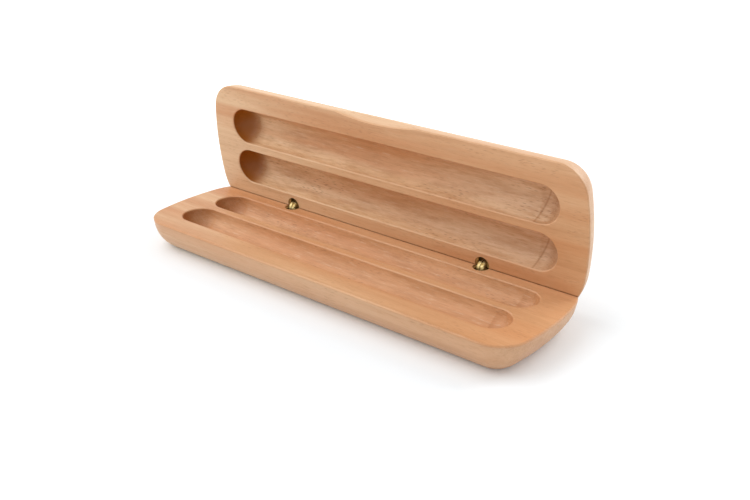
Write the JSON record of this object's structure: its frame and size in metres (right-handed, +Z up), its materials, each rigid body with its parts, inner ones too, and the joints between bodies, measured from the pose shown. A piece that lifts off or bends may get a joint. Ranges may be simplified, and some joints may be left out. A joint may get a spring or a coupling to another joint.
{
  "type": "fountain pen case",
  "caption": "Hinged wooden pen case: both halves carved with round-bottomed pen grooves, a thumb scoop in the lid's front edge and small brass barrel hinges, shown open.",
  "frame": {"origin": "middle of the base's flat underside", "axes": "+X along the case, -Y towards the front edge, +Z up, lid open"},
  "size_m": [0.1718, 0.0591, 0.0591],
  "materials": {
    "maple": "pale close-grained wood under a thin satin lacquer",
    "brass": "turned and stamped brass, lightly tarnished"
  },
  "bodies": {
    "base": {"base_tray": "maple", "left_base_barrel": "brass", "left_base_pin": "brass", "right_base_barrel": "brass", "right_base_pin": "brass"},
    "lid": {"lid_tray": "maple", "left_lid_barrel": "brass", "left_lid_pin": "brass", "right_lid_barrel": "brass", "right_lid_pin": "brass"},
    "hinge_links": {"left_outer_link": "brass", "left_inner_link": "brass", "right_outer_link": "brass", "right_inner_link": "brass"}
  },
  "joints": [
    {"name": "lid_hinge", "type": "hinge", "parent": "base", "child": "lid", "pos_m": [0, 0.02105, 0.0124], "axis": [1, 0, 0], "range_deg": [0, 82.8]},
    {"name": "link_swing", "type": "hinge", "parent": "base", "child": "hinge_links", "pos_m": [0, 0.02018, 0.0101], "axis": [1, 0, 0], "range_deg": [0, 41.4]}
  ],
  "couplings": [
    {"joint": "link_swing", "follows": "lid_hinge", "ratio": 0.5}
  ]
}
